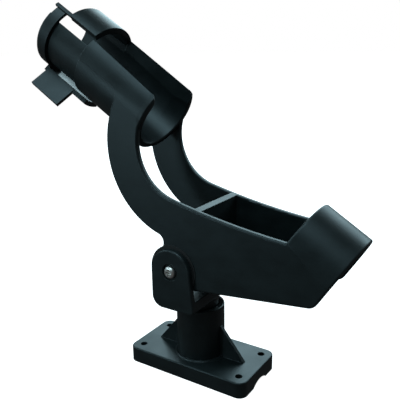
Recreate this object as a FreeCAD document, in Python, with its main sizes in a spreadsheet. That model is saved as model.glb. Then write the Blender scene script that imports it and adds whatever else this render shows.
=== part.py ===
import FreeCAD, Part
import math
import os
import Sketcher

V = FreeCAD.Vector

# Frame: origin under the centre of the base plate, +X along the plate towards the butt box and its
# hood, +Y across the holder, +Z up.  The rod lies on the "rod line", which slopes down towards +X;
# u runs down that line and rise runs square to it, both in the XZ plane.

SIZES = {
    # base plate and swivel socket
    "plate_length": 106.6,
    "plate_width": 54.2,
    "plate_height": 12.5,
    "plate_corner": 7.0,
    "hole_radius": 2.75,
    "hole_pitch_long": 89.7,
    "hole_pitch_wide": 36.4,
    "socket_radius": 19.0,
    "socket_top": 54.5,
    "socket_bore": 14.52,
    "web_bottom": 8.5,
    "web_hole": 3.08,
    "recess_radius": 9.5,
    "bead_radius": 1.0,
    "bead_out": 0.8,
    "bore_chamfer": 1.0,
    "gusset_reach": 39.9,
    "gusset_top": 38.6,
    "gusset_width": 3.0,
    "saddle_radius": 16.0,
    "saddle_drop": 12.4,
    "core_length": 64.0,
    "core_width": 8.0,
    "core_middle": 18.0,
    "core_depth": 7.5,
    # yoke
    "pivot_x": -4.4,
    "pivot_z": 90.5,
    "yoke_half": 34.0,
    "yoke_gap_half": 30.2,
    "ear_radius": 17.1,
    "ear_front": 15.6,
    "floor_bottom": 60.3,
    "floor_top": 69.5,
    "heel_radius": 9.0,
    "toe_radius": 3.0,
    "gap_fillet": 1.2,
    "yoke_round": 1.2,
    "stem_radius": 14.45,
    "stem_bottom": 12.8,
    "stem_core": 3.0,
    "stem_core_depth": 18.0,
    "screw_hole": 2.55,
    "head_recess": 6.6,
    "head_recess_depth": 1.6,
    "nut_flats": 8.0,
    "nut_play": 0.1,
    "nut_recess_depth": 2.0,
    # cradle
    "cradle_half": 29.4,
    "wall": 4.5,
    "rod_x": -33.0,
    "rod_z": 202.1,
    "rod_tilt": 32.2,
    "inner_arc_x": 5.0,
    "inner_arc_z": 182.0,
    "inner_arc": 39.0,
    "outer_arc_x": 3.8,
    "outer_arc_z": 179.7,
    "outer_arc": 66.8,
    "top_arc": 560.0,
    "top_end_rise": -0.3,
    "top_corner": 2.0,
    "rim_round": 1.2,
    "pivot_corner": 3.0,
    "hood_rear": 138.8,
    "hood_front": 177.3,
    "hood_drop": 6.2,
    "bottom_slope": 5.7,
    "bottom_offset": 14.3,
    "rear_edge_x": -13.3,
    "rear_fillet": 6.0,
    "front_corner": 8.0,
    "floor_thick": 4.0,
    "rear_wall_x": 13.6,
    "rear_wall": 5.0,
    "beyond": 300.0,
    "cross_tube": 8.0,
    "cross_bore": 2.58,
    "edge_round": 1.6,
    # slotted tube
    "bore": 23.4,
    "tube_outer": 28.3,
    "cheek_outer": 29.4,
    "cheek_angle": 200.0,
    "cheek_edge_rise": 5.5,
    "cheek_fillet": 6.0,
    "cheek_low": 2.9,
    "tube_low": 5.6,
    "shoulder": 66.2,
    "tube_high": 113.0,
    "neck_outer": 26.0,
    "neck_lip": 27.2,
    "neck_lip_width": 1.6,
    "mouth_length": 16.0,
    "mouth_bore": 24.6,
    "mouth_outer": 29.8,
    "mouth_round": 1.5,
    "mouth_corner": 6.0,
    "slot_neck": 21.5,
    "slot_shoulder": 20.4,
    "slot_mouth": 23.1,
    # locking ring
    "ring_bore": 26.08,
    "band_outer": 28.6,
    "band_low": 101.7,
    "band_high": 111.1,
    "flap_low": 66.5,
    "flap_high": 95.3,
    "blade_bore": 27.8,
    "blade_outer": 30.0,
    "blade_high": 113.5,
    "flap_outer": 31.0,
    "bar_low": 55.5,
    "bar_bore": 29.8,
    "bar_outer": 33.6,
    "bar_high": 104.5,
    "tab_low": 70.5,
    "tab_high": 102.0,
    "tab_reach": 18.5,
    "tab_thick": 3.2,
    "tab_inset": 0.5,
    # screws, washers and nut
    "pivot_screw_radius": 2.5,
    "pivot_head_radius": 4.5,
    "pivot_head_height": 3.2,
    "stem_screw_radius": 3.0,
    "stem_head_radius": 5.5,
    "stem_head_height": 2.2,
    "stem_screw_length": 18.0,
    "stem_play": 0.2,
    "screw_tip": 0.6,
    "past_nut": 1.0,
    "washer_radius": 8.6,
    "washer_thick": 1.2,
    "split_half": 0.5,
    "disc_radius": 19.6,
    "disc_thick": 0.6,
    "nut_height": 4.6,
    "collar_height": 1.5,
    "collar_outer": 3.7,
}

doc = FreeCAD.newDocument("rod_holder")
sheet = doc.addObject("Spreadsheet::Sheet", "sizes")
for row, (alias, value) in enumerate(SIZES.items(), start=1):
    sheet.set("A%d" % row, alias)
    sheet.set("B%d" % row, str(value))
    sheet.setAlias("B%d" % row, alias)
doc.recompute()

nodes = []


def size(alias):
    return float(sheet.get(alias))


def bind(obj, **links):
    """Ties properties of obj to expressions on the sheet, written with plain aliases."""
    for prop, text in links.items():
        obj.setExpression(prop, on_sheet(text))


def on_sheet(text):
    words = text.replace("(", " ( ").replace(")", " ) ").split()
    return " ".join("sizes." + word if word in SIZES else word for word in words)


def body(label):
    made = doc.addObject("PartDesign::Body", label)
    made.Label = label
    return made


def keep(obj, label):
    """Registers a finished sub-part under the name of its file."""
    obj.Label = label
    nodes.append(obj)
    return obj


# ---------------------------------------------------------------- sketches

def sketch(owner, name, plane, offset=None):
    """An empty sketch on one of the body's own origin planes."""
    made = owner.newObject("Sketcher::SketchObject", name)
    origin_plane = [f for f in owner.Origin.OriginFeatures if f.Role == plane][0]
    made.AttachmentSupport = [(origin_plane, "")]
    made.MapMode = "FlatFace"
    if offset is not None:
        made.AttachmentOffset = offset
    return made


def lifted(height):
    """A shift along +Z, of the object or of the sketch's own axes."""
    return FreeCAD.Placement(V(0, 0, height), FreeCAD.Rotation())


def rod_sketch(owner, name, drop=0.0):
    """A sketch in the XZ plane: x is u along the rod line, or along a line drop below it; y is the rise."""
    turn = FreeCAD.Rotation(V(0, 0, 1), -size("rod_tilt"))
    return sketch(owner, name, "XZ_Plane", FreeCAD.Placement(on_rod(0, -drop), turn))


def slot_sketch(owner, name):
    """A sketch in the plane of the rod line and the Y axis: x is u, y is Y, and its normal is the rise."""
    turn = FreeCAD.Rotation(V(0, 1, 0), size("rod_tilt"))
    return sketch(owner, name, "XY_Plane", FreeCAD.Placement(on_rod_3d(0, 0), turn))


def polygon(where, points):
    """Closed straight outline: each corner is (x, y), given as expressions on the sheet."""
    values = [[evaluate(x), evaluate(y)] for x, y in points]
    count = len(points)
    first = where.GeometryCount
    for i in range(count):
        start = V(*values[i], 0)
        end = V(*values[(i + 1) % count], 0)
        where.addGeometry(Part.LineSegment(start, end), False)
    for i in range(count):
        where.addConstraint(Sketcher.Constraint("Coincident", first + i, 2, first + (i + 1) % count, 1))
    for i, corner in enumerate(points):
        for axis, kind in enumerate(("DistanceX", "DistanceY")):
            index = where.addConstraint(Sketcher.Constraint(kind, -1, 1, first + i, 1, values[i][axis]))
            where.setExpression("Constraints[%d]" % index, on_sheet(corner[axis]))


def circle(where, x, y, radius):
    """A circle whose centre and radius are expressions on the sheet."""
    whole = Part.Circle(V(evaluate(x), evaluate(y), 0), V(0, 0, 1), evaluate(radius))
    made = where.addGeometry(whole, False)
    ties = (
        (Sketcher.Constraint("DistanceX", -1, 1, made, 3, evaluate(x)), x),
        (Sketcher.Constraint("DistanceY", -1, 1, made, 3, evaluate(y)), y),
        (Sketcher.Constraint("Radius", made, evaluate(radius)), radius),
    )
    for constraint, text in ties:
        index = where.addConstraint(constraint)
        where.setExpression("Constraints[%d]" % index, on_sheet(text))


def evaluate(text):
    """The value of a sheet expression now, for a sketch's starting shape."""
    return float(sheet.evalExpression(on_sheet(text)))


def outline(where, edges):
    """A closed chain of lines and arcs, joined end to end."""
    first = where.GeometryCount
    for edge in edges:
        where.addGeometry(edge, False)
    count = len(edges)
    for i in range(count):
        here = edges[i]
        after = edges[(i + 1) % count]
        near_start = here.EndPoint.distanceToPoint(after.StartPoint) < 1e-4
        leaving = 2 if near_start or here.EndPoint.distanceToPoint(after.EndPoint) < 1e-4 else 1
        point = here.EndPoint if leaving == 2 else here.StartPoint
        arriving = 1 if point.distanceToPoint(after.StartPoint) < 1e-4 else 2
        following = first + (i + 1) % count
        where.addConstraint(Sketcher.Constraint("Coincident", first + i, leaving, following, arriving))


def rectangle(where, x0, y0, x1, y1):
    polygon(where, [(x0, y0), (x1, y0), (x1, y1), (x0, y1)])


# ---------------------------------------------------------------- features

def pad(owner, profile, length, both_ways=True, reverse=False):
    made = owner.newObject("PartDesign::Pad", "pad")
    made.Profile = profile
    made.SideType = "Symmetric" if both_ways else "One side"
    made.Reversed = reverse
    bind(made, Length=length)
    doc.recompute()
    return made


def pocket(owner, profile, length, both_ways=True, reverse=False):
    """Cuts the profile away and makes sure that something went."""
    before = owner.Shape.Volume
    made = owner.newObject("PartDesign::Pocket", "pocket")
    made.Profile = profile
    made.SideType = "Symmetric" if both_ways else "One side"
    made.Reversed = reverse
    bind(made, Length=length)
    doc.recompute()
    assert owner.Shape.Volume < before - 1e-3, profile.Label + " cuts nothing"
    return made


def revolve(owner, profile, axis, angle="360", cut=False):
    """Turns the profile about one of its sketch's own axes, half the angle each way."""
    made = owner.newObject("PartDesign::Groove" if cut else "PartDesign::Revolution", "turned")
    made.Profile = profile
    made.ReferenceAxis = (profile, [axis])
    made.Midplane = True
    bind(made, Angle=angle)
    doc.recompute()
    return made


def fillet(owner, radius, choose):
    """Rounds the edges of the body's tip that choose(edge) picks."""
    tip = owner.Tip
    names = ["Edge%d" % (i + 1) for i, edge in enumerate(tip.Shape.Edges) if choose(edge)]
    assert names, "no edge to round"
    made = owner.newObject("PartDesign::Fillet", "round")
    made.Base = (tip, names)
    bind(made, Radius=radius)
    doc.recompute()
    return made


def middle(edge):
    first, last = edge.ParameterRange
    return edge.valueAt((first + last) / 2)


def flat_in(edge, axis, value, tolerance=0.01):
    """True when the whole edge lies in the plane axis = value."""
    first, last = edge.ParameterRange
    samples = [edge.valueAt(first + (last - first) * k / 4) for k in range(5)]
    return all(abs(getattr(point, axis) - value) < tolerance for point in samples)


# ---------------------------------------------------------------- base plate

def base_plate():
    made = body("base_plate")
    footprint = sketch(made, "footprint", "XY_Plane")
    rectangle(footprint, "- plate_length / 2", "- plate_width / 2", "plate_length / 2", "plate_width / 2")
    pad(made, footprint, "plate_height", both_ways=False)
    fillet(made, "plate_corner", lambda edge: abs(edge.tangentAt(edge.FirstParameter).z) > 0.99)

    boss = sketch(made, "socket_ring", "XY_Plane")
    circle(boss, "0", "0", "socket_radius")
    pad(made, boss, "socket_top", both_ways=False)
    fillet(made, "bead_radius", plate_rim)

    gussets = sketch(made, "gussets", "XZ_Plane")
    polygon(gussets, [("- gusset_reach", "plate_height - 1"), ("gusset_reach", "plate_height - 1"),
                      ("gusset_reach", "plate_height"), ("socket_radius", "gusset_top"),
                      ("- socket_radius", "gusset_top"), ("- gusset_reach", "plate_height")])
    pad(made, gussets, "gusset_width")

    bead = sketch(made, "bead", "XZ_Plane")
    circle(bead, "socket_radius + bead_out", "plate_height", "bead_radius")
    revolve(made, bead, "V_Axis")

    well = sketch(made, "stem_well", "XZ_Plane")
    polygon(well, [("0", "-1"), ("recess_radius", "-1"), ("recess_radius", "web_bottom"),
                   ("web_hole", "web_bottom"), ("web_hole", "plate_height"), ("socket_bore", "plate_height"),
                   ("socket_bore", "socket_top - bore_chamfer"), ("socket_bore + bore_chamfer", "socket_top"),
                   ("socket_bore + bore_chamfer", "socket_top + 1"), ("0", "socket_top + 1")])
    revolve(made, well, "V_Axis", cut=True)

    saddle = sketch(made, "rail_saddle", "YZ_Plane")
    circle(saddle, "0", "- saddle_drop", "saddle_radius")
    pocket(made, saddle, "plate_length + 2")

    cores = sketch(made, "cores", "XY_Plane")
    for side in ("", "- "):
        rectangle(cores, "- core_length / 2", side + "( core_middle - core_width / 2 )",
                  "core_length / 2", side + "( core_middle + core_width / 2 )")
    pocket(made, cores, "core_depth", both_ways=False, reverse=True)

    holes = sketch(made, "mount_holes", "XY_Plane")
    for along in ("", "- "):
        for across in ("", "- "):
            circle(holes, along + "hole_pitch_long / 2", across + "hole_pitch_wide / 2", "hole_radius")
    pocket(made, holes, "plate_height * 3")
    return keep(made, "base_plate")


def plate_rim(edge):
    """True for the plate's upper outer edge and the socket's rim, and not where the socket stands."""
    at_foot = flat_in(edge, "z", size("plate_height")) and middle(edge).Length < size("socket_radius") * 1.3
    return flat_in(edge, "z", size("socket_top")) or flat_in(edge, "z", size("plate_height")) and not at_foot


# ---------------------------------------------------------------- yoke

def yoke():
    made = body("yoke")
    x, z, r = size("pivot_x"), size("pivot_z"), size("ear_radius")
    back = x - r
    front_top = x + r
    toe, heel = size("toe_radius"), size("heel_radius")
    bottom, front = size("floor_bottom"), size("ear_front")
    ear = sketch(made, "ear", "XZ_Plane")
    toe_side = V(front, bottom + toe, 0)
    outline(ear, [
        arc(V(x, z, 0), r, 0, 180),
        Part.LineSegment(V(back, z, 0), V(back, bottom + heel, 0)),
        arc(V(back + heel, bottom + heel, 0), heel, 180, 270),
        Part.LineSegment(V(back + heel, bottom, 0), V(front - toe, bottom, 0)),
        arc(V(front - toe, bottom + toe, 0), toe, 270, 360),
        Part.LineSegment(toe_side, V(front_top, z, 0)),
    ])
    pad(made, ear, "yoke_half * 2")

    gap = sketch(made, "gap", "YZ_Plane")
    rectangle(gap, "- yoke_gap_half", "floor_top", "yoke_gap_half", "pivot_z + ear_radius * 2")
    pocket(made, gap, "ear_radius * 6")
    fillet(made, "gap_fillet", lambda edge: flat_in(edge, "z", size("floor_top"))
           and abs(abs(middle(edge).y) - size("yoke_gap_half")) < 0.01)
    half = size("yoke_half")
    fillet(made, "yoke_round", lambda edge: flat_in(edge, "y", half) or flat_in(edge, "y", -half))

    stem = sketch(made, "stem", "XY_Plane", lifted(size("stem_bottom")))
    stem.setExpression("AttachmentOffset.Base.z", "sizes.stem_bottom")
    circle(stem, "0", "0", "stem_radius")
    pad(made, stem, "floor_bottom - stem_bottom + 2", both_ways=False)

    core = sketch(made, "stem_core", "XZ_Plane")
    polygon(core, [("0", "stem_bottom - 1"), ("stem_core", "stem_bottom - 1"),
                   ("stem_core", "stem_bottom + stem_core_depth"), ("0", "stem_bottom + stem_core_depth")])
    revolve(made, core, "V_Axis", cut=True)

    cross_hole = sketch(made, "pivot_hole", "XZ_Plane")
    circle(cross_hole, "pivot_x", "pivot_z", "screw_hole")
    pocket(made, cross_hole, "yoke_half * 3")

    head_seat = ear_sketch(made, "head_seat", near=True)
    circle(head_seat, "pivot_x", "pivot_z", "head_recess")
    pocket(made, head_seat, "head_recess_depth", both_ways=False)
    nut_seat = ear_sketch(made, "nut_seat", near=False)
    hexagon(nut_seat, "pivot_x", "pivot_z", size("nut_flats") / 2 + size("nut_play"))
    pocket(made, nut_seat, "nut_recess_depth", both_ways=False, reverse=True)
    return keep(made, "yoke")


def ear_sketch(owner, name, near):
    """A sketch on the outer face of the near (-Y) or far (+Y) ear."""
    out = size("yoke_half") if near else -size("yoke_half")
    made = sketch(owner, name, "XZ_Plane", lifted(out))
    made.setExpression("AttachmentOffset.Base.z", "sizes.yoke_half" if near else "-sizes.yoke_half")
    return made


def hexagon(where, x, y, half_flats):
    corner = half_flats / math.cos(math.pi / 6)
    middle_point = V(evaluate(x), evaluate(y), 0)
    points = [middle_point + V(corner * math.cos(k * math.pi / 3), corner * math.sin(k * math.pi / 3), 0)
              for k in range(6)]
    outline(where, [Part.LineSegment(points[k], points[(k + 1) % 6]) for k in range(6)])


def arc(centre, radius, start, end):
    """An arc of the given radius from start to end, in degrees, turning to the left."""
    whole = Part.Circle(centre, V(0, 0, 1), radius)
    return Part.ArcOfCircle(whole, math.radians(start), math.radians(end))


# ---------------------------------------------------------------- cradle

def on_rod(u, rise):
    """The point of the XZ plane, as sketch x and y, at u along the rod line and rise above it."""
    tilt = math.radians(size("rod_tilt"))
    x = size("rod_x") + u * math.cos(tilt) + rise * math.sin(tilt)
    z = size("rod_z") - u * math.sin(tilt) + rise * math.cos(tilt)
    return V(x, z, 0)


def meet_line(point, direction, other, other_direction):
    """Where two straight lines cross."""
    across = V(-other_direction.y, other_direction.x, 0)
    step = (other - point).dot(across) / direction.dot(across)
    return point + direction * step


def meet_circle(point, direction, centre, radius):
    """The two places where a line crosses a circle, in order along the line."""
    nearest = point + direction * (centre - point).dot(direction)
    half = math.sqrt(radius ** 2 - (nearest - centre).Length ** 2)
    return nearest - direction * half, nearest + direction * half


def angle_of(point, centre):
    return math.degrees(math.atan2(point.y - centre.y, point.x - centre.x)) % 360


def arc_between(centre, start, end):
    """The arc about centre that runs to the left from start to end."""
    first = angle_of(start, centre)
    last = angle_of(end, centre)
    return arc(centre, (start - centre).Length, first, last + (360 if last < first else 0))


def meet_circles(first, first_radius, second, second_radius):
    """The upper of the two places where two circles cross."""
    across = second - first
    apart = across.Length
    along = (apart ** 2 + first_radius ** 2 - second_radius ** 2) / (2 * apart)
    out = math.sqrt(first_radius ** 2 - along ** 2)
    way = across / apart
    foot = first + way * along
    side = V(-way.y, way.x, 0) * out
    return max(foot + side, foot - side, key=lambda point: point.y)


def inner_centre():
    return V(size("inner_arc_x"), size("inner_arc_z"), 0)


def outer_centre():
    return V(size("outer_arc_x"), size("outer_arc_z"), 0)


def top_centre():
    """Centre of the box's shallow top edge, which runs on as a tangent into the arms' inner arc."""
    end = on_rod(size("hood_rear"), size("top_end_rise"))
    return meet_circles(inner_centre(), size("top_arc") - size("inner_arc"), end, size("top_arc"))


def bottom_line():
    """A point on the box's bottom edge, below the pivot, and the direction of that edge."""
    slope = math.radians(size("bottom_slope"))
    way = V(math.cos(slope), math.sin(slope), 0)
    start = V(size("pivot_x"), size("pivot_z"), 0) + V(way.y, -way.x, 0) * size("bottom_offset")
    return start, way


def side_plate_outline():
    """Box, arms and pivot end of one side plate, going round to the left from the hood's rear rim."""
    along = on_rod(1, 0) - on_rod(0, 0)
    square = on_rod(0, 1) - on_rod(0, 0)
    front_top = on_rod(size("hood_front"), -size("hood_drop"))

    # a small hollow corner leads from the hood's rim into the top edge
    small, wide = size("top_corner"), size("top_arc")
    top = top_centre()
    corner = meet_circle(on_rod(size("hood_rear") - small, 0), square, top, wide - small)[0]
    rim = corner + along * small
    top_start = top + (corner - top) * (wide / (wide - small))
    inner = inner_centre()
    top_end = top + (inner - top) * (wide / (wide - size("inner_arc")))

    # the arms end on the rod line, inside the tube's cheeks
    inner_high = meet_circle(on_rod(0, 0), along, inner, size("inner_arc"))[0]
    outer = outer_centre()
    outer_high = meet_circle(on_rod(0, 0), along, outer, size("outer_arc"))[0]

    # the outer arc turns down into the rear edge through a hollow fillet
    fillet_x = size("rear_edge_x") - size("rear_fillet")
    reach = size("outer_arc") + size("rear_fillet")
    hollow = V(fillet_x, outer.y - math.sqrt(reach ** 2 - (fillet_x - outer.x) ** 2), 0)
    outer_low = outer + (hollow - outer) * (size("outer_arc") / reach)
    rear_top = hollow + V(size("rear_fillet"), 0, 0)

    # the bottom edge passes under the pivot and meets the front edge in a round corner
    bottom_start, bottom_way = bottom_line()
    front_foot = meet_line(bottom_start, bottom_way, front_top, square)
    cut_back = size("front_corner") * math.tan(math.acos(bottom_way.dot(square)) / 2)
    corner_low = front_foot - bottom_way * cut_back
    corner_high = front_foot + square * cut_back
    corner_centre = corner_low + V(-bottom_way.y, bottom_way.x, 0) * size("front_corner")
    rear_low = meet_line(V(size("rear_edge_x"), 0, 0), V(0, 1, 0), bottom_start, bottom_way)
    return [
        arc_between_right(corner, rim, top_start),
        arc_between_right(top, top_start, top_end),
        arc_between_right(inner, top_end, inner_high),
        Part.LineSegment(inner_high, outer_high),
        arc_between(outer, outer_high, outer_low),
        arc_between_right(hollow, outer_low, rear_top),
        Part.LineSegment(rear_top, rear_low),
        Part.LineSegment(rear_low, corner_low),
        arc_between(corner_centre, corner_low, corner_high),
        Part.LineSegment(corner_high, front_top),
        Part.LineSegment(front_top, rim),
    ]


def arc_between_right(centre, start, end):
    """The arc about centre that runs to the right from start to end."""
    return arc_between(centre, end, start)


def on_rod_3d(u, rise):
    flat = on_rod(u, rise)
    return V(flat.x, 0, flat.y)


def cradle():
    """Butt box, arms and slotted tube: one moulding."""
    made = body("cradle_body")
    side = sketch(made, "side_plate", "XZ_Plane")
    outline(side, side_plate_outline())
    pad(made, side, "cradle_half * 2")
    pivot_end = sketch(made, "pivot_end", "XZ_Plane")
    circle(pivot_end, "pivot_x", "pivot_z", "disc_radius")
    pad(made, pivot_end, "cradle_half * 2")
    fillet(made, "pivot_corner", pivot_corner)
    fillet(made, "edge_round", outer_edge)

    # between the arms, behind the box, everything is open
    arms_gap = sketch(made, "arms_gap", "XZ_Plane")
    rectangle(arms_gap, "- beyond", "0", "rear_wall_x", "beyond")
    pocket(made, arms_gap, "( cradle_half - wall ) * 2")

    # the box is open on top and at the front, under the hood
    inside = sketch(made, "inside", "XZ_Plane")
    rectangle(inside, "rear_wall_x + rear_wall", "0", "beyond", "beyond")
    pocket(made, inside, "( cradle_half - wall ) * 2")
    fillet(made, "rim_round", inner_rim)
    box_floor(made)

    cross = sketch(made, "cross_tube", "XZ_Plane")
    circle(cross, "pivot_x", "pivot_z", "cross_tube")
    pad(made, cross, "( cradle_half - wall ) * 2 + 1")
    cross_bore = sketch(made, "cross_bore", "XZ_Plane")
    circle(cross_bore, "pivot_x", "pivot_z", "cross_bore")
    pocket(made, cross_bore, "cradle_half * 3")

    hood(made)
    tube(made)
    whole = doc.addObject("Part::MultiFuse", "cradle")
    whole.Shapes = [made, cheeks()]
    whole.Refine = True
    doc.recompute()
    return keep(whole, "cradle")


def pivot_corner(edge):
    """True for the hollow corners where the round pivot end meets the straight edges."""
    at = middle(edge)
    apart = math.hypot(at.x - size("pivot_x"), at.z - size("pivot_z"))
    return abs(apart - size("disc_radius")) < 0.01 and flat_in(edge, "x", at.x) and flat_in(edge, "z", at.z)


def outer_edge(edge):
    """True for the side plates' outer edges, apart from the line where the arms end inside the tube."""
    at = middle(edge) - on_rod_3d(0, 0)
    rise = at.dot(on_rod_3d(0, 1) - on_rod_3d(0, 0))
    half = size("cradle_half")
    return (flat_in(edge, "y", half) or flat_in(edge, "y", -half)) and abs(rise) > 0.05


def inner_rim(edge):
    """True for the inner edges along the top of the box and the inner arc of the arms."""
    half = size("cradle_half") - size("wall")
    at = middle(edge)
    flat = V(at.x, at.z, 0)
    on_top = abs(flat.distanceToPoint(top_centre()) - size("top_arc")) < 0.01
    on_arms = abs(flat.distanceToPoint(inner_centre()) - size("inner_arc")) < 0.01
    return (flat_in(edge, "y", half) or flat_in(edge, "y", -half)) and (on_top or on_arms)


def box_floor(made):
    floor = sketch(made, "box_floor", "XZ_Plane")
    start, way = bottom_line()
    up = V(-way.y, way.x, 0) * size("floor_thick")
    square = on_rod(0, 1) - on_rod(0, 0)
    rear = V(size("rear_wall_x"), 0, 0)
    near_low = meet_line(start, way, rear, V(0, 1, 0))
    near_high = meet_line(start + up, way, rear, V(0, 1, 0))
    far_low = meet_line(start, way, on_rod(size("hood_front"), 0), square) - way * size("front_corner")
    points = [near_low, far_low, far_low + up, near_high]
    outline(floor, [Part.LineSegment(points[k], points[(k + 1) % 4]) for k in range(4)])
    pad(made, floor, "( cradle_half - wall ) * 2 + 1")


def hood(made):
    """Half-round roof over the front of the box, about a line just under the rod line."""
    roof = rod_sketch(made, "hood", drop=size("hood_drop"))
    rear, front, edge = size("hood_rear"), size("hood_front"), size("edge_round")
    top, under = size("cradle_half"), size("cradle_half") - size("wall")
    outline(roof, [
        Part.LineSegment(V(rear, under, 0), V(front, under, 0)),
        Part.LineSegment(V(front, under, 0), V(front, top - edge, 0)),
        arc(V(front - edge, top - edge, 0), edge, 0, 90),
        Part.LineSegment(V(front - edge, top, 0), V(rear + edge, top, 0)),
        arc(V(rear + edge, top - edge, 0), edge, 90, 180),
        Part.LineSegment(V(rear, top - edge, 0), V(rear, under, 0)),
    ])
    revolve(made, roof, "H_Axis", angle="180")


def tube(made):
    """Tube about the rod line, with a flared mouth and a neck for the ring."""
    wall = rod_sketch(made, "tube_wall")
    polygon(wall, [
        ("- tube_high", "bore"), ("- tube_high", "neck_lip"), ("neck_lip_width - tube_high", "neck_lip"),
        ("neck_lip_width - tube_high", "neck_outer"), ("- shoulder", "neck_outer"),
        ("- shoulder", "tube_outer"), ("tube_low - mouth_length", "tube_outer"),
        ("tube_low - mouth_round", "mouth_outer"), ("tube_low", "mouth_outer - mouth_round"),
        ("tube_low", "mouth_bore + mouth_round / 2"), ("tube_low - mouth_round / 2", "mouth_bore"),
        ("tube_low - mouth_length", "bore"),
    ])
    revolve(made, wall, "H_Axis")
    open_slot(made)
    round_mouth(made)


def cheeks():
    """The tube's thicker upper half, which flows into the arms; its lower edge has a hollow corner there."""
    made = body("cheeks")
    ring = rod_sketch(made, "cheek_ring")
    polygon(ring, [("- shoulder", "tube_outer - 1"), ("- shoulder", "cheek_outer"),
                   ("cheek_low", "cheek_outer"), ("cheek_low", "tube_outer - 1")])
    revolve(made, ring, "H_Axis", angle="cheek_angle")

    along = on_rod(1, 0) - on_rod(0, 0)
    square = on_rod(0, 1) - on_rod(0, 0)
    radius, reach = size("cheek_fillet"), size("outer_arc")
    outer = outer_centre()
    level = on_rod(0, size("cheek_edge_rise") - radius)
    corner = meet_circle(level, along, outer, reach + radius)[0]
    below = -size("cheek_outer") - 3
    low = meet_circle(on_rod(0, below), along, outer, reach)[0]
    upper_left = on_rod(-size("tube_high"), size("cheek_edge_rise"))
    lower_left = on_rod(-size("tube_high"), below)
    line_end = corner + square * radius
    arc_start = outer + (corner - outer) * (reach / (reach + radius))
    hollow = sketch(made, "cheek_hollow", "XZ_Plane")
    outline(hollow, [
        Part.LineSegment(upper_left, line_end),
        arc_between_right(corner, line_end, arc_start),
        arc_between(outer, arc_start, low),
        Part.LineSegment(low, lower_left),
        Part.LineSegment(lower_left, upper_left),
    ])
    pocket(made, hollow, "cheek_outer * 3")
    open_slot(made)
    return made


def open_slot(made):
    """Cuts the slot along the top, a little wider towards the mouth."""
    slot = slot_sketch(made, "slot")
    polygon(slot, [
        ("- tube_high - 5", "- slot_neck"), ("- shoulder", "- slot_neck"), ("- shoulder", "- slot_shoulder"),
        ("tube_low", "- slot_mouth"), ("tube_low + 5", "- slot_mouth"), ("tube_low + 5", "slot_mouth"),
        ("tube_low", "slot_mouth"), ("- shoulder", "slot_shoulder"), ("- shoulder", "slot_neck"),
        ("- tube_high - 5", "slot_neck"),
    ])
    pocket(made, slot, "cheek_outer * 2", both_ways=False, reverse=True)


def round_mouth(made):
    """Rounds the two corners where the slot runs out through the mouth."""
    end, radius = size("tube_low"), size("mouth_corner")
    top = math.sqrt(size("mouth_outer") ** 2 - size("slot_mouth") ** 2)
    ends = rod_sketch(made, "mouth_corners")
    outline(ends, [
        arc(V(end - radius, top - radius, 0), radius, 0, 90),
        Part.LineSegment(V(end - radius, top, 0), V(end - radius, top * 2, 0)),
        Part.LineSegment(V(end - radius, top * 2, 0), V(end + radius, top * 2, 0)),
        Part.LineSegment(V(end + radius, top * 2, 0), V(end + radius, top - radius, 0)),
        Part.LineSegment(V(end + radius, top - radius, 0), V(end, top - radius, 0)),
    ])
    pocket(made, ends, "cheek_outer * 3")


# ---------------------------------------------------------------- locking ring

def rod_frame(turned=0.0):
    """Placement with +Z up the tube, along the rod line, and +X towards the slot, then turned about +Z."""
    up_tube = on_rod_3d(-1, 0) - on_rod_3d(0, 0)
    rise = on_rod_3d(0, 1) - on_rod_3d(0, 0)
    across = up_tube.cross(rise)
    whole = FreeCAD.Rotation(rise, across, up_tube, "ZXY")
    return FreeCAD.Placement(on_rod_3d(0, 0), whole * FreeCAD.Rotation(V(0, 0, 1), turned))


def ring_sector(name, bore, outer, low, high, turn):
    """Part of a tube round the rod line, from low to high up it, over a turn given as (first, last)."""
    first, last = turn
    outside = cylinder(name + "_outside", outer, low, high, first, last - first)
    inside = cylinder(name + "_inside", bore, low + " - 1", high + " + 1", first - 2, last - first + 4)
    made = doc.addObject("Part::Cut", name)
    made.Base = outside
    made.Tool = inside
    return made


def cylinder(name, radius, low, high, first, sweep):
    made = doc.addObject("Part::Cylinder", name)
    made.Angle = sweep
    bind(made, Radius=radius, Height="( %s ) - ( %s )" % (high, low))
    frame = rod_frame(first)
    frame.move(frame.Rotation.multVec(V(0, 0, evaluate(low))))
    made.Placement = frame
    return made


# Places round the ring, in degrees from the middle of the slot, positive towards the far side (+Y)
BAND_ARC = (-178.0, -33.5)
FLAP_ARC = (-39.0, 64.0)
BLADE_ARC = (-39.0, -33.5)
BAR_ARC = (-178.0, -148.0)
TAB_LEAN = -134.0


def locking_ring():
    """C-shaped ring that turns on the neck: a band, a flap over the slot, a bar and a thumb tab."""
    band = ring_sector("band", "ring_bore", "band_outer", "band_low", "band_high", BAND_ARC)
    flap = ring_sector("flap", "ring_bore", "flap_outer", "flap_low", "flap_high", FLAP_ARC)
    blade = ring_sector("blade", "blade_bore", "blade_outer", "flap_high - 1", "blade_high", BLADE_ARC)
    bar = ring_sector("bar", "bar_bore", "bar_outer", "bar_low", "bar_high", BAR_ARC)
    root = ring_sector("root", "band_outer - 1", "bar_bore + 1", "band_low", "bar_high", BAR_ARC)
    tab = doc.addObject("Part::Box", "tab")
    bind(tab, Length="tab_reach", Width="tab_thick", Height="tab_high - tab_low")
    base = rod_frame(BAR_ARC[1]).multVec(V(size("bar_bore"), 0, size("tab_low")))
    frame = rod_frame(TAB_LEAN)
    frame.Base = base
    frame.move(frame.Rotation.multVec(V(size("tab_inset"), -size("tab_thick"), 0)))
    tab.Placement = frame
    whole = doc.addObject("Part::MultiFuse", "locking_ring")
    whole.Shapes = [band, flap, blade, bar, root, tab]
    whole.Refine = True
    doc.recompute()
    return keep(whole, "locking_ring")


# ---------------------------------------------------------------- fasteners

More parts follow.
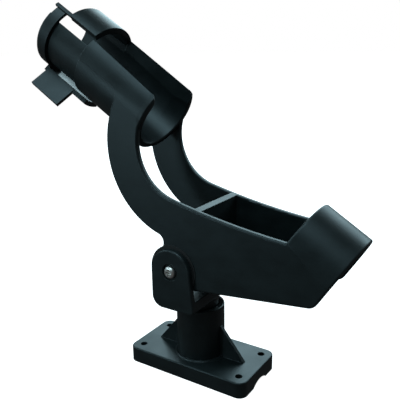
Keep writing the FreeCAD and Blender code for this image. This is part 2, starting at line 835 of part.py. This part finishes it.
def pan_head_screw(label, radius, head_radius, head_height, length):
    """Screw along -Z with its head on top of the XY plane and a cross recess in the head."""
    made = body(label)
    profile = sketch(made, label + "_profile", "XZ_Plane")
    shank, head, high, long = map(evaluate, (radius, head_radius, head_height, length))
    tip = size("screw_tip")
    side_top = V(head, high * 0.45, 0)
    shoulder = V(head * 0.86, high * 0.84, 0)
    flat_edge = V(head * 0.62, high, 0)
    outline(profile, [
        Part.LineSegment(V(0, -long, 0), V(shank - tip, -long, 0)),
        Part.LineSegment(V(shank - tip, -long, 0), V(shank, tip - long, 0)),
        Part.LineSegment(V(shank, tip - long, 0), V(shank, 0, 0)),
        Part.LineSegment(V(shank, 0, 0), V(head, 0, 0)),
        Part.LineSegment(V(head, 0, 0), side_top),
        Part.Arc(side_top, shoulder, flat_edge),
        Part.LineSegment(flat_edge, V(0, high, 0)),
        Part.LineSegment(V(0, high, 0), V(0, -long, 0)),
    ])
    revolve(made, profile, "V_Axis")
    recess = sketch(made, label + "_recess", "XY_Plane", lifted(high))
    reach, half, deep = head * 0.55, head * 0.12, high * 0.6
    points = []
    for quarter in range(4):
        turn = FreeCAD.Rotation(V(0, 0, 1), 90 * quarter)
        points += [turn.multVec(V(*at, 0)) for at in ((reach, -half), (reach, half), (half, half))]
    outline(recess, [Part.LineSegment(points[k], points[(k + 1) % 12]) for k in range(12)])
    pocket(made, recess, "%f" % deep, both_ways=False)
    return keep(made, label)


def disc_with_hole(label, outer, inner, thick):
    """Washer on the XY plane."""
    made = body(label)
    profile = sketch(made, label + "_profile", "XY_Plane")
    circle(profile, "0", "0", outer)
    circle(profile, "0", "0", inner)
    pad(made, profile, thick, both_ways=False)
    return made


def lying_across(x, y, z, towards_far):
    """Placement whose own +Z points along +Y, or along -Y."""
    angle = -90 if towards_far else 90
    return FreeCAD.Placement(V(x, y, z), FreeCAD.Rotation(V(1, 0, 0), angle))


def pivot_fasteners():
    x, z = size("pivot_x"), size("pivot_z")
    half = size("yoke_half")
    seat = half - size("head_recess_depth")
    nut_seat = half - size("nut_recess_depth")
    between = "yoke_half * 2 - head_recess_depth - nut_recess_depth"
    screw = pan_head_screw("pivot_screw", "pivot_screw_radius", "pivot_head_radius", "pivot_head_height",
                           between + " + nut_height + collar_height + past_nut")
    screw.Placement = lying_across(x, -seat, z, towards_far=False)

    nut = body("pivot_nut")
    flats = sketch(nut, "nut_flats", "XY_Plane")
    hexagon(flats, "0", "0", size("nut_flats") / 2)
    circle(flats, "0", "0", "pivot_screw_radius")
    pad(nut, flats, "nut_height", both_ways=False)
    nut.Placement = lying_across(x, nut_seat, z, towards_far=True)
    keep(nut, "pivot_nut")

    collar = disc_with_hole("pivot_nut_collar", "collar_outer", "pivot_screw_radius", "collar_height")
    collar.Placement = lying_across(x, nut_seat + size("nut_height"), z, towards_far=True)
    keep(collar, "pivot_nut_collar")

    discs = []
    for side in (-1, 1):
        name = "disc_near" if side < 0 else "disc_far"
        disc = disc_with_hole(name, "disc_radius", "cross_bore", "disc_thick")
        disc.Placement = lying_across(x, side * size("cradle_half"), z, towards_far=side > 0)
        discs.append(disc)
    pair = doc.addObject("Part::Compound", "friction_discs")
    pair.Links = discs
    keep(pair, "friction_discs")


def stem_fasteners():
    under = size("web_bottom") - size("stem_play")
    thick = size("washer_thick")
    bore = "stem_screw_radius + stem_play"
    washer = disc_with_hole("stem_washer", "washer_radius", bore, "washer_thick")
    washer.Placement = lifted(under - thick)
    keep(washer, "stem_washer")

    lock = disc_with_hole("stem_lock_washer", "stem_head_radius", bore, "washer_thick")
    split = sketch(lock, "split", "XY_Plane")
    rectangle(split, "stem_screw_radius / 2", "- split_half", "stem_head_radius * 2", "split_half")
    pocket(lock, split, "washer_thick * 3")
    lock.Placement = lifted(under - 2 * thick)
    keep(lock, "stem_lock_washer")

    screw = pan_head_screw("stem_screw", "stem_screw_radius", "stem_head_radius", "stem_head_height",
                           "stem_screw_length")
    screw.Placement = FreeCAD.Placement(V(0, 0, under - 2 * thick), FreeCAD.Rotation(V(1, 0, 0), 180))


base_plate()
yoke()
cradle()
locking_ring()
pivot_fasteners()
stem_fasteners()
doc.recompute()

for obj in doc.Objects:
    bad = [word for word in obj.State if word in ("Invalid", "Error")]
    assert not bad, "%s is %s" % (obj.Label, bad)
os.makedirs("parts", exist_ok=True)
for node in nodes:
    shape = node.Shape
    assert not shape.isNull() and shape.isValid(), node.Label + " has no valid shape"
    assert shape.Solids, node.Label + " has no solid"
    print("%-18s solids %d  volume %9.1f" % (node.Label, len(shape.Solids), shape.Volume))
    shape.exportStep("parts/%s.step" % node.Label)
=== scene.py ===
import math

import bpy
from mathutils import Matrix, Vector


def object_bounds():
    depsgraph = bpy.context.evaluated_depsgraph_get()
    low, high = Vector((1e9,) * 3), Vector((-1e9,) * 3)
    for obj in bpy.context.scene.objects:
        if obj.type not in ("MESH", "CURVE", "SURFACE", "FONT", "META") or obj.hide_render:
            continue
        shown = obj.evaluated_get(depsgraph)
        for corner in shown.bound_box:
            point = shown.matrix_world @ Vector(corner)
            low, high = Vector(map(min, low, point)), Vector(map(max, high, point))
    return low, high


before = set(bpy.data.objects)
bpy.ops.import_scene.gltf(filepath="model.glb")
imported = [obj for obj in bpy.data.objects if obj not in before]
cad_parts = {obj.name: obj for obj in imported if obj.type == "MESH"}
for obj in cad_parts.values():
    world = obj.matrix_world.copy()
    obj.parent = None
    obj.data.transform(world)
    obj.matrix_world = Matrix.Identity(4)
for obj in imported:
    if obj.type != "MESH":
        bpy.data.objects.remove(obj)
cad_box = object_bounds()

MM = 0.001
WHITE = (1, 1, 1, 1)

# Colours of the black nylon: the body, its cloudy bloom, fibre ends, and edges lightened partly for
# handling wear and partly as a painted highlight
BLACK = (0.0060, 0.0095, 0.0100, 1)
BLOOM = (0.0110, 0.0170, 0.0180, 1)
FIBRE_END = (0.16, 0.18, 0.18, 1)
EDGE_WEAR_AND_HIGHLIGHT = (0.055, 0.068, 0.072, 1)


# ---------------------------------------------------------------- node helpers

class Finish:
    """One material and its node tree, with short ways to add and join nodes."""

    def __init__(self, name):
        self.material = bpy.data.materials.new(name)
        self.material.use_nodes = True
        self.tree = self.material.node_tree
        self.shader = self.tree.nodes["Principled BSDF"]
        self.place = self.add("ShaderNodeTexCoord").outputs["Object"]

    def add(self, kind, inputs=None, **settings):
        """A new node, with its settings, and its inputs as values or as sockets to join."""
        node = self.tree.nodes.new(kind)
        for key, value in settings.items():
            setattr(node, key, value)
        for key, value in (inputs or {}).items():
            self.feed(node.inputs[key], value)
        return node

    def feed(self, socket, value):
        """Joins another node's socket, or sets a plain value."""
        if isinstance(value, bpy.types.NodeSocket):
            self.tree.links.new(value, socket)
        else:
            socket.default_value = value

    def set(self, **values):
        """Values or sockets of the surface shader; an underscore stands for a space."""
        for key, value in values.items():
            self.feed(self.shader.inputs[key.replace("_", " ")], value)

    def noise(self, feature, detail=2.0, roughness=0.5, stretch=(1, 1, 1)):
        """Noise whose lumps are about one feature wide, in metres."""
        spread = self.add("ShaderNodeMapping", {"Vector": self.place, "Scale": stretch})
        return self.add("ShaderNodeTexNoise", {
            "Vector": spread.outputs["Vector"],
            "Scale": 1 / feature,
            "Detail": detail,
            "Roughness": roughness,
        }).outputs["Fac"]

    def cells(self, feature):
        """Distance to the nearest of scattered points about one feature apart."""
        return self.add("ShaderNodeTexVoronoi", {
            "Vector": self.place,
            "Scale": 1 / feature,
        }).outputs["Distance"]

    def remap(self, value, low, high, to_low=0.0, to_high=1.0):
        """The value with low..high stretched to to_low..to_high, and held there."""
        return self.add("ShaderNodeMapRange", {
            "Value": value,
            "From Min": low,
            "From Max": high,
            "To Min": to_low,
            "To Max": to_high,
        }).outputs["Result"]

    def math(self, operation, a, b=0.0):
        return self.add("ShaderNodeMath", {0: a, 1: b}, operation=operation).outputs["Value"]

    def mix(self, share, a, b):
        """Colour a where share is 0, colour b where it is 1."""
        node = self.add("ShaderNodeMix", {"Factor": share}, data_type="RGBA")
        first, second = [socket for socket in node.inputs if socket.type == "RGBA"]
        self.feed(first, a)
        self.feed(second, b)
        return next(socket for socket in node.outputs if socket.type == "RGBA")

    def rounded(self, radius):
        """The surface's normal with its edges rounded, and how near to an edge a point is."""
        soft = self.add("ShaderNodeBevel", {"Radius": radius}, samples=6).outputs["Normal"]
        true = self.add("ShaderNodeNewGeometry").outputs["Normal"]
        along = self.add("ShaderNodeVectorMath", {0: soft, 1: true}, operation="DOT_PRODUCT")
        return soft, self.remap(along.outputs["Value"], 0.995, 0.80)

    def bump(self, layers, normal=None):
        """Bump layers, each (height, depth in metres), one on the other."""
        for height, depth in layers:
            inputs = {"Height": height, "Distance": depth, "Strength": 1.0}
            if normal is not None:
                inputs["Normal"] = normal
            normal = self.add("ShaderNodeBump", inputs).outputs["Normal"]
        return normal


# ------------------------------------------------------------------- materials

def moulded_nylon(name, roughness, edge_radius=0.5 * MM):
    """Black glass-filled nylon straight from the mould: a faint cloudy bloom where the resin flowed,
    light fibre ends, a spark-eroded grain, edges made smoother by handling, and edges lightened in
    colour, partly as handling wear and partly as a painted highlight."""
    fin = Finish(name)
    soft, edge = fin.rounded(edge_radius)
    flow = fin.noise(22 * MM, detail=4, roughness=0.6, stretch=(1, 1, 1.8))
    cloud = fin.noise(6 * MM, detail=3)
    fibre = fin.cells(1.1 * MM)
    grain = fin.noise(0.35 * MM, detail=3, roughness=0.7)

    clouded = fin.mix(fin.remap(flow, 0.35, 0.75), BLACK, BLOOM)
    mottled = fin.mix(fin.remap(cloud, 0.55, 0.8, 0, 0.35), clouded, BLOOM)
    rare = fin.math("MULTIPLY", fin.remap(fibre, 0.10, 0.04), fin.remap(cloud, 0.5, 0.62))
    speckled = fin.mix(fin.math("MULTIPLY", rare, 0.5), mottled, FIBRE_END)
    # Lighter colour along the edges: partly handling wear, partly a painted edge highlight
    with_edge_wear_and_highlight = fin.mix(fin.math("MULTIPLY", edge, 0.45), speckled, EDGE_WEAR_AND_HIGHLIGHT)

    polish = fin.remap(edge, 0, 1, 0, -0.10)
    uneven = fin.remap(flow, 0.3, 0.7, roughness - 0.04, roughness + 0.05)
    fin.set(
        Base_Color=with_edge_wear_and_highlight,
        Roughness=fin.math("ADD", uneven, polish),
        IOR=1.53,
        Specular_Tint=(0.80, 0.94, 1.0, 1),
        Normal=fin.bump([(flow, 0.10 * MM), (grain, 0.012 * MM)], soft),
    )
    return fin.material


def bright_steel(name, colour, roughness, edge_radius=0.15 * MM):
    """Plated steel: fine turning marks, a little tarnish and bright rounded edges."""
    fin = Finish(name)
    soft, edge = fin.rounded(edge_radius)
    tarnish = fin.noise(2.5 * MM, detail=4)
    marks = fin.noise(0.25 * MM, detail=2, stretch=(1, 6, 1))
    dulled = [0.62 * part for part in colour[:3]] + [1]
    tinted = fin.mix(fin.remap(tarnish, 0.45, 0.75, 0, 0.5), colour, dulled)
    brightened = fin.mix(fin.math("MULTIPLY", edge, 0.5), tinted, (0.93, 0.93, 0.92, 1))
    fin.set(
        Base_Color=brightened,
        Metallic=1.0,
        Roughness=fin.remap(tarnish, 0.35, 0.75, roughness, roughness + 0.12),
        Normal=fin.bump([(marks, 0.004 * MM)], soft),
    )
    return fin.material


def locking_nylon(name):
    """The nut's locking collar: milky nylon that lets a little light in."""
    fin = Finish(name)
    soft, edge = fin.rounded(0.15 * MM)
    cloud = fin.noise(1.5 * MM, detail=3)
    fin.set(
        Base_Color=fin.mix(fin.remap(cloud, 0.35, 0.7), (0.62, 0.66, 0.68, 1), (0.78, 0.80, 0.80, 1)),
        Roughness=fin.remap(edge, 0, 1, 0.48, 0.36),
        Subsurface_Weight=0.2,
        Subsurface_Scale=0.8 * MM,
        Normal=fin.bump([(cloud, 0.01 * MM)], soft),
    )
    return fin.material


def friction_fibre(name):
    """The friction discs: pressed fibre in black resin, with short pale strands."""
    fin = Finish(name)
    soft, edge = fin.rounded(0.2 * MM)
    strands = fin.noise(0.9 * MM, detail=4, roughness=0.7, stretch=(1, 1, 5))
    dust = fin.noise(5 * MM, detail=3)
    pressed = fin.mix(fin.remap(strands, 0.55, 0.8), (0.010, 0.011, 0.012, 1), (0.045, 0.047, 0.046, 1))
    dusty = fin.mix(fin.remap(dust, 0.5, 0.9, 0, 0.3), pressed, (0.05, 0.052, 0.05, 1))
    fin.set(
        Base_Color=fin.mix(fin.math("MULTIPLY", edge, 0.3), dusty, (0.07, 0.075, 0.075, 1)),
        Roughness=fin.remap(strands, 0.3, 0.8, 0.62, 0.82),
        Normal=fin.bump([(strands, 0.03 * MM)], soft),
    )
    return fin.material


def dress_nodes():
    """Gives each CAD node the finish of its material slot."""
    finishes = {
        "base_plastic": moulded_nylon("base_nylon", 0.40),
        "yoke_plastic": moulded_nylon("yoke_nylon", 0.42),
        "cradle_plastic": moulded_nylon("cradle_nylon", 0.44),
        "ring_plastic": moulded_nylon("ring_nylon", 0.40, 0.35 * MM),
        "disc_plastic": friction_fibre("friction_fibre"),
        "screw_steel": bright_steel("screw_steel", (0.93, 0.91, 0.88, 1), 0.34),
        "nut_steel": bright_steel("nut_steel", (0.66, 0.66, 0.65, 1), 0.28),
        "washer_steel": bright_steel("washer_steel", (0.60, 0.60, 0.59, 1), 0.32),
        "collar_nylon": locking_nylon("collar_nylon"),
    }
    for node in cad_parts.values():
        for place, old in enumerate(node.data.materials):
            node.data.materials[place] = finishes[old.name]


# ------------------------------------------------------------- floor and light

def pale_floor():
    """A wide, plain, near-white floor just under the base, which casts no light back on the holder."""
    reach = 30.0
    mesh = bpy.data.meshes.new("floor")
    corners = [(-reach, -reach, 0), (reach, -reach, 0), (reach, reach, 0), (-reach, reach, 0)]
    mesh.from_pydata(corners, [], [(0, 1, 2, 3)])
    floor = bpy.data.objects.new("floor", mesh)
    floor.location.z = -0.1 * MM
    floor.visible_glossy = False
    floor.visible_diffuse = False
    bpy.context.scene.collection.objects.link(floor)
    fin = Finish("floor_paint")
    fin.set(
        Base_Color=fin.mix(fin.noise(0.4, detail=2), (0.86, 0.87, 0.87, 1), (0.90, 0.90, 0.90, 1)),
        Roughness=0.9,
        Emission_Color=WHITE,
        Emission_Strength=0.97,
    )
    mesh.materials.append(fin.material)


def sky():
    """White where the camera looks past the floor; a dim room for everything else."""
    room, beyond = 0.05, 1.0
    world = bpy.data.worlds.new("studio")
    bpy.context.scene.world = world
    world.use_nodes = True
    nodes, links = world.node_tree.nodes, world.node_tree.links
    seen = nodes.new("ShaderNodeLightPath").outputs["Is Camera Ray"]
    tone = nodes.new("ShaderNodeMapRange")
    tone.inputs["To Min"].default_value = room
    tone.inputs["To Max"].default_value = beyond
    links.new(seen, tone.inputs["Value"])
    background = nodes["Background"]
    background.inputs["Color"].default_value = WHITE
    links.new(tone.outputs["Result"], background.inputs["Strength"])


def softbox(name, place, target, width, height, power, colour):
    """A rectangular studio softbox at a place, turned to its target."""
    lamp = bpy.data.lights.new(name, "AREA")
    lamp.shape = "RECTANGLE"
    lamp.size = width
    lamp.size_y = height
    lamp.energy = power
    lamp.color = colour
    box = bpy.data.objects.new(name, lamp)
    box.location = place
    box.rotation_euler = (Vector(target) - Vector(place)).to_track_quat("-Z", "Y").to_euler()
    box.visible_camera = False
    bpy.context.scene.collection.objects.link(box)


def studio():
    """A bright backdrop behind the holder does most of the work; the rest only fills in."""
    middle = (cad_box[0] + cad_box[1]) / 2
    cool = (0.66, 0.92, 1.0)
    softbox("backdrop", (-0.15, 1.15, 0.80), middle, 1.8, 0.9, 17.0, cool)
    softbox("top_box", (0.05, -0.45, 1.15), middle, 0.7, 0.7, 5.5, cool)
    softbox("left_box", (-1.0, -0.30, 0.75), middle, 0.6, 0.6, 3.0, cool)
    softbox("front_box", (-0.50, -0.85, 0.20), middle, 0.16, 0.16, 1.1, cool)


# ---------------------------------------------------------------------- camera

def camera():
    """Looks down a little from the near right, about 0.4 m away."""
    place = (0.2171, -0.3296, 0.2470)
    turn, down, roll = math.radians(33.26), math.radians(15.45), math.radians(-0.86)
    lens = bpy.data.cameras.new("camera")
    lens.lens = 48.99
    lens.sensor_width = 36.0
    lens.clip_start = 0.01
    eye = bpy.data.objects.new("camera", lens)
    eye.matrix_world = (
        Matrix.Translation(place)
        @ Matrix.Rotation(turn, 4, "Z")
        @ Matrix.Rotation(math.pi / 2 - down, 4, "X")
        @ Matrix.Rotation(roll, 4, "Z")
    )
    bpy.context.scene.collection.objects.link(eye)
    bpy.context.scene.camera = eye


dress_nodes()
pale_floor()
sky()
studio()
camera()
bpy.context.scene.view_settings.view_transform = "Standard"
